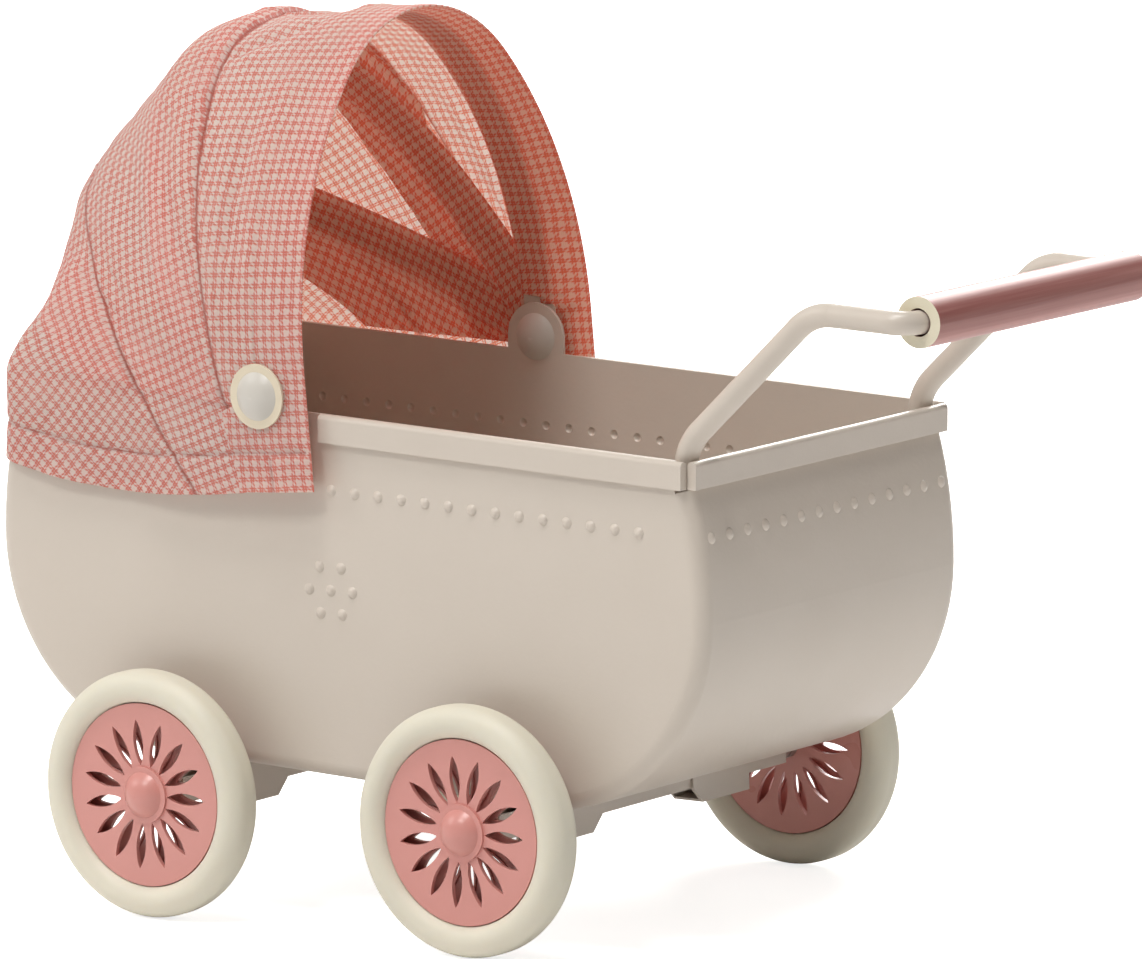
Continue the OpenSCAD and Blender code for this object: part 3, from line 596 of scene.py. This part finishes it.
def rubber(name, colour):
    """Old cream rubber that lets a little light in."""
    n = material(name)
    at = n.coords()
    base = n.mix(n.ramp(n.noise(at, 70.0, 3.0), 0.35, 0.75, 0.0, 0.35), rgba(*colour),
                 rgba(*[c * 0.9 for c in colour]))
    surface = n.new("ShaderNodeBsdfPrincipled", Base__Color=base, Roughness=0.5, Subsurface__Weight=0.12,
                    Subsurface__Scale=0.002, Subsurface__Radius=(1.0, 0.8, 0.5),
                    Normal=n.bump(n.noise(at, 900.0), 0.00003, 0.5))
    return n.finish(surface.outputs[0])


def grip_paint():
    """Rose paint brushed along the tube, with bare wood at its two ends."""
    n = material("grip_rose")
    streak = n.noise(n.coords((1, 0.018, 1)), 620.0, 4.0, 0.65)
    wide = n.noise(n.coords((1, 0.03, 1)), 260.0)
    base = n.mix(n.ramp(streak, 0.42, 0.66), rgba(0.36, 0.125, 0.11), rgba(0.50, 0.235, 0.21))
    base = n.mix(n.ramp(wide, 0.4, 0.7, 0.0, 0.45), base, rgba(0.30, 0.10, 0.085))
    normal = n.new("ShaderNodeNewGeometry").outputs["True Normal"]
    sideways = n.math("ABSOLUTE", n.new("ShaderNodeSeparateXYZ", Vector=normal).outputs[1])
    base = n.mix(n.math("GREATER_THAN", sideways, 0.93), base, rgba(0.74, 0.68, 0.52))
    surface = n.new("ShaderNodeBsdfPrincipled", Base__Color=base, Coat__Weight=0.2, Coat__Roughness=0.35,
                    Roughness=n.ramp(streak, 0.3, 0.7, 0.36, 0.52), Normal=n.bump(streak, 0.00006, 0.7))
    return n.finish(surface.outputs[0])


def steel():
    """Bare steel, drawn along Y."""
    n = material("drawn_steel")
    draw = n.noise(n.coords((1, 0.02, 1)), 1500.0)
    surface = n.new("ShaderNodeBsdfPrincipled", Base__Color=rgba(0.56, 0.55, 0.53), Metallic=0.85,
                    Roughness=n.ramp(draw, 0.3, 0.7, 0.28, 0.42), Normal=n.bump(draw, 0.00002, 0.5))
    return n.finish(surface.outputs[0])


def woven_place(n, a, b):
    """Coordinates of the weave on the panel that a point is on, with a hand loom's small wander."""

    def panel_at(name):
        return n.new("ShaderNodeAttribute", _attribute_name=name).outputs["Vector"]

    low = n.pick(n.math("GREATER_THAN", b, 0.0), panel_at("weave3"), panel_at("weave2"))
    here = n.pick(n.math("GREATER_THAN", a, 0.0), low, panel_at("weave1"))
    drift = n.new("ShaderNodeTexNoise", Scale=0.09, Detail=2.0, Vector=here).outputs["Color"]
    drift = n.new("ShaderNodeVectorMath", _operation="SUBTRACT", i0=drift, i1=(0.5, 0.5, 0.5)).outputs[0]
    drift = n.new("ShaderNodeVectorMath", _operation="SCALE", i0=drift, Scale=1.4).outputs[0]
    return n.new("ShaderNodeVectorMath", _operation="ADD", i0=here, i1=drift).outputs[0]


def bars(n, share):
    """The two fine dark threads of each square."""
    lines = []
    for centre in (0.14, 0.38):
        off = n.math("ABSOLUTE", n.math("SUBTRACT", share, centre))
        lines.append(n.math("LESS_THAN", off, 0.065))
    return n.math("MAXIMUM", *lines)


PITCH = 1.7  # of the cloth's squares


def check_cloth():
    """Woven red and pale check, lit from both sides, with its seams drawn as dark lines of painted shade and
    its double layers painted a deeper red as a painted glow of light through them.
    """
    n = material("check_cloth")
    seams = n.new("ShaderNodeAttribute", _attribute_name="seams").outputs["Vector"]
    a, b, lining = n.new("ShaderNodeSeparateXYZ", Vector=seams).outputs
    here = woven_place(n, a, b)
    split = n.new("ShaderNodeSeparateXYZ", Vector=here)
    u, v = (n.math("MULTIPLY", split.outputs[i], 1 / PITCH) for i in (0, 1))
    share_u, share_v = n.math("FRACT", u), n.math("FRACT", v)
    # a red and a pale half of each square, mixed by the twill where they cross
    warp, weft = n.math("LESS_THAN", share_u, 0.5), n.math("LESS_THAN", share_v, 0.5)
    twill = n.math("LESS_THAN", n.math("FRACT", n.math("MULTIPLY", n.math("ADD", u, v), 2.0)), 0.5)
    red = n.math("ADD", n.math("MULTIPLY", twill, warp),
                 n.math("MULTIPLY", n.math("SUBTRACT", 1.0, twill), weft))
    slub = n.noise(here, 1.6, 3.0)
    rose = n.mix(n.ramp(slub, 0.3, 0.7), rgba(0.65, 0.215, 0.18), rgba(0.71, 0.33, 0.285))
    pale = n.mix(n.ramp(slub, 0.3, 0.7), rgba(0.77, 0.63, 0.57), rgba(0.83, 0.74, 0.68))
    face = n.mix(red, pale, rose)
    face = n.mix(n.ramp(n.noise(here, 0.12), 0.45, 0.75, 0.0, 0.3), face, rgba(0.80, 0.58, 0.52))
    # cloth that lies double is painted a deeper orange-red, a painted glow that stands for light passing
    # through the two layers; it also lets little light through
    painted_double_glow = n.mix(red, rgba(1.0, 0.50, 0.33), rgba(0.93, 0.17, 0.085))
    face = n.mix(n.math("MULTIPLY", lining, 0.72), face, painted_double_glow)
    # a dark red line along every seam and stitch line: painted shade of the sewn grooves
    line = n.math("MINIMUM", n.math("ABSOLUTE", a), n.math("ABSOLUTE", b))
    face = n.mix(n.ramp(line, 0.12, 0.34, 0.75, 0.0), face, rgba(0.42, 0.09, 0.06))
    # against the light the single layer shows as a thin red grid
    grid = n.math("MAXIMUM", bars(n, share_u), bars(n, share_v))
    glow = n.mix(grid, rgba(1.0, 0.86, 0.78), rgba(0.92, 0.25, 0.13))
    glow = n.mix(n.ramp(line, 0.3, 0.8, 0.8, 0.0), glow, rgba(0.55, 0.16, 0.10))
    thread_u, thread_v = (n.math("SINE", n.math("MULTIPLY", c, 2 * math.pi * 6)) for c in (u, v))
    height = n.math("ADD", n.math("MULTIPLY", thread_v, 0.5), slub)
    height = n.math("ADD", n.math("MULTIPLY", thread_u, 0.5), height)
    bump = n.bump(height, 0.00005, 0.5)
    shine = n.new("ShaderNodeBsdfPrincipled", Base__Color=face, Roughness=0.92, Sheen__Weight=0.25,
                  Sheen__Roughness=0.5, Specular__IOR__Level=0.15, Normal=bump).outputs[0]
    through = n.new("ShaderNodeBsdfTranslucent", Color=glow, Normal=bump).outputs[0]
    thin = n.ramp(lining, 0.0, 1.0, 0.38, 0.22)
    return n.finish(n.new("ShaderNodeMixShader", i0=thin, i1=shine, i2=through).outputs[0])


LOOKS = {
    "tin_paint": enamel("tin_enamel", (0.62, 0.55, 0.477), (0.53, 0.46, 0.385)),
    "rivet_paint": enamel("rivet_enamel", (0.60, 0.565, 0.51), (0.5, 0.46, 0.40), rough=0.34),
    "washer_paper": enamel("washer_cream", (0.72, 0.63, 0.48), (0.62, 0.52, 0.38), rough=0.6, coat=0.0),
    "bow_tape": enamel("bow_cream", (0.70, 0.62, 0.52), (0.6, 0.5, 0.4), rough=0.5, coat=0.0),
    "wheel_paint": enamel("wheel_rose", (0.66, 0.285, 0.25), (0.55, 0.21, 0.18), rough=0.3, coat=0.25),
    "tyre_cream": rubber("tyre_cream", (0.74, 0.70, 0.58)),
    "grip_paint": grip_paint(),
    "bare_steel": steel(),
}
slots = {s["node"]: s["material_slot"] for s in frame["record"]["subparts"]}
for name, obj in frame["nodes"].items():
    look = LOOKS.get(slots.get(name))
    if look is not None and not obj.hide_render:
        obj.data.materials.clear()
        obj.data.materials.append(look)
weave_look = check_cloth()
for piece in cloth.values():
    piece.data.materials.append(weave_look)


# ---------------------------------------------------------------- floor and light
def make_floor(reach=6):
    """A white floor, which shows itself to the camera brighter than it is, as the photograph is cut out."""
    mesh = bpy.data.meshes.new("floor")
    mesh.from_pydata([(-reach, -reach, 0), (reach, -reach, 0), (reach, reach, 0), (-reach, reach, 0)], [],
                     [(0, 1, 2, 3)])
    floor = bpy.data.objects.new("floor", mesh)
    bpy.context.scene.collection.objects.link(floor)
    floor.location.z = -0.0002
    n = material("floor_white")
    tone = n.mix(n.ramp(n.noise(n.coords(), 3.0), 0.3, 0.7), rgba(0.93, 0.93, 0.93), rgba(0.95, 0.95, 0.95))
    matt = n.new("ShaderNodeBsdfDiffuse", Color=tone).outputs[0]
    lit = n.new("ShaderNodeEmission", Color=rgba(1, 1, 1), Strength=0.75).outputs[0]
    seen = n.new("ShaderNodeLightPath").outputs["Is Camera Ray"]
    extra = n.new("ShaderNodeMixShader", i0=seen, i2=lit).outputs[0]
    mesh.materials.append(n.finish(n.new("ShaderNodeAddShader", i0=matt, i1=extra).outputs[0]))


def make_world():
    """White to the camera; to the part, a soft sky that is brighter above and at the hood's end."""
    world = bpy.data.worlds.new("world")
    bpy.context.scene.world = world
    n = Nodes(world, "ShaderNodeOutputWorld")
    way = n.new("ShaderNodeTexCoord").outputs["Generated"]
    slope = n.new("ShaderNodeVectorMath", _operation="DOT_PRODUCT", i0=way, i1=(-0.19, -0.04, 0.12))
    strength = n.math("ADD", slope.outputs["Value"], 0.22)
    bright = n.new("ShaderNodeBackground", Color=rgba(1, 1, 1), Strength=1.0).outputs[0]
    soft = n.new("ShaderNodeBackground", Color=rgba(1.0, 0.99, 0.97), Strength=strength).outputs[0]
    seen = n.new("ShaderNodeLightPath").outputs["Is Camera Ray"]
    n.finish(n.new("ShaderNodeMixShader", i0=seen, i1=soft, i2=bright).outputs[0])


def lamp(name, place, size, power, colour=(1.0, 0.985, 0.965)):
    """A square lamp that points at the pram's middle."""
    data = bpy.data.lights.new(name, "AREA")
    data.shape, data.size, data.energy, data.color = "SQUARE", size, power, colour
    obj = bpy.data.objects.new(name, data)
    bpy.context.scene.collection.objects.link(obj)
    obj.location = place
    obj.rotation_euler = (Vector((0, 0, 0.07)) - Vector(place)).to_track_quat("-Z", "Y").to_euler()


make_floor()
make_world()
lamp("key", (-1.15, -0.75, 0.95), 0.6, 3.6)
lamp("top", (-0.05, -0.95, 1.2), 0.3, 5.7)
lamp("over", (0.03, -0.3, 1.2), 0.35, 6.4)
lamp("back", (-0.35, 1.15, 0.75), 0.7, 15.5, (1.0, 0.985, 0.96))


# ---------------------------------------------------------------- camera, as fitted to the photograph
def make_camera(azimuth, elevation, roll, target, distance, lens):
    """A camera that looks at the target, the azimuth round from the side and the elevation up."""
    az, el, roll = (math.radians(v) for v in (azimuth, elevation, roll))
    level = Vector((math.cos(az), math.sin(az), 0))
    view = Vector((-math.sin(az) * math.cos(el), math.cos(az) * math.cos(el), -math.sin(el)))
    lift = Vector((-math.sin(az) * math.sin(el), math.cos(az) * math.sin(el), math.cos(el)))
    right = level * math.cos(roll) + lift * math.sin(roll)
    upward = lift * math.cos(roll) - level * math.sin(roll)
    data = bpy.data.cameras.new("camera")
    data.lens, data.sensor_width, data.sensor_fit = lens, 36.0, "HORIZONTAL"
    data.clip_start, data.clip_end = 0.05, 60.0
    camera = bpy.data.objects.new("camera", data)
    bpy.context.scene.collection.objects.link(camera)
    turned = Matrix((right, upward, -view)).transposed().to_4x4()
    camera.matrix_world = Matrix.Translation(target - distance * view) @ turned
    bpy.context.scene.camera = camera


make_camera(azimuth=36.77, elevation=9.03, roll=-1.29, target=Vector((-0.009595, 0.01231, 0.06612)),
            distance=1.70417, lens=333.8)
bpy.context.scene.view_settings.view_transform = "Standard"
